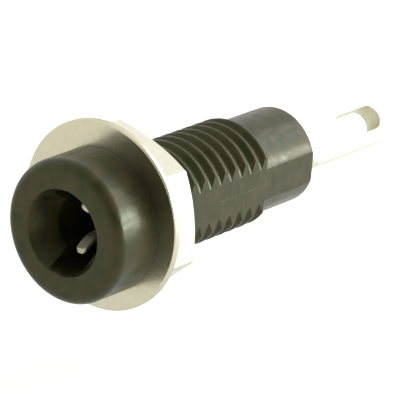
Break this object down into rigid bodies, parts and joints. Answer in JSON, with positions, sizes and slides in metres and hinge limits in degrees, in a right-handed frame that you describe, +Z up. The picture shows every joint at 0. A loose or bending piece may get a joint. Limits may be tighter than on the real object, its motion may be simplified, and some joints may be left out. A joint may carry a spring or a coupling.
{
  "type": "panel tip jack",
  "caption": "Insulated panel jack for a thin test-lead tip: round moulded head with a funnel mouth, threaded shank with flats, spring contact with solder lug, washer and hex nut.",
  "frame": {"origin": "centre of the head's rear face, the seat that bears on the panel", "axes": "+Y along the jack's axis, from the panel seat towards the nut and the solder lug, so the socket's mouth faces -Y; +Z up; +X towards the side with one of the shank's flats"},
  "size_m": [0.0107, 0.0294, 0.0107],
  "materials": {
    "moulding": "satin moulded nylon, black with an olive cast",
    "contact_plate": "bright tin plate over brass",
    "bright_plate": "bright nickel plate over brass"
  },
  "bodies": {
    "jack": {"insulator": "moulding", "contact": "contact_plate"},
    "washer": {"washer": "bright_plate"},
    "nut": {"nut": "bright_plate"}
  },
  "joints": [
    {"name": "washer_slide", "type": "slide", "parent": "jack", "child": "washer", "axis": [0, 1, 0], "range_m": [0, 0.0084]},
    {"name": "nut_turn", "type": "hinge", "parent": "washer", "child": "nut", "pos_m": [0, 0, 0], "axis": [0, 1, 0], "range_deg": [0, 3335]}
  ],
  "couplings": [
    {"joint": "nut_turn", "follows": "washer_slide", "rad_per_m": 6927.4}
  ]
}
